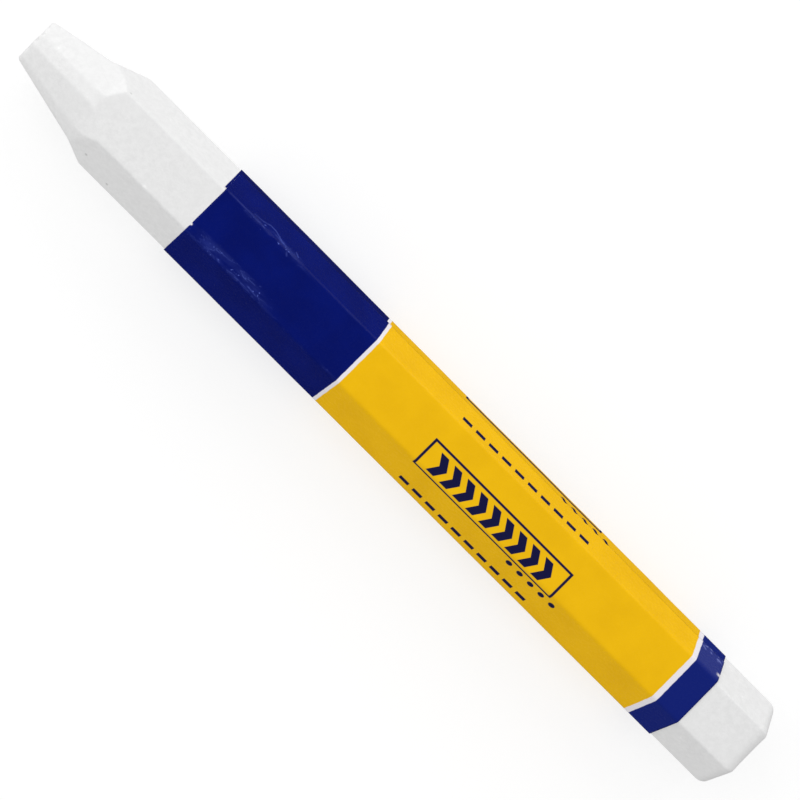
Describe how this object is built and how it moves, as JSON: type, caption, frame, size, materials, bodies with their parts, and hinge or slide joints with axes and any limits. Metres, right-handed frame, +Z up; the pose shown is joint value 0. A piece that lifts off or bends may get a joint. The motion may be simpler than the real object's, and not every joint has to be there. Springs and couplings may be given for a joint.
{
  "type": "wax crayon",
  "caption": "White hexagonal wax marking crayon with a faceted blunt tip and a paper label wrapped round its middle.",
  "frame": {"origin": "on the surface the crayon rests on, below the middle of its length and width", "axes": "+X along the crayon from its tip to its butt end, +Z up from the flat it rests on, +Y across"},
  "size_m": [0.12, 0.0132, 0.0116],
  "materials": {
    "wax": "matte white marking wax, finely mottled",
    "label": "glossy printed paper, yellow with a dark blue band at each end"
  },
  "bodies": {
    "root": {"wax_stick": "wax", "paper_label": "label"}
  },
  "joints": []
}
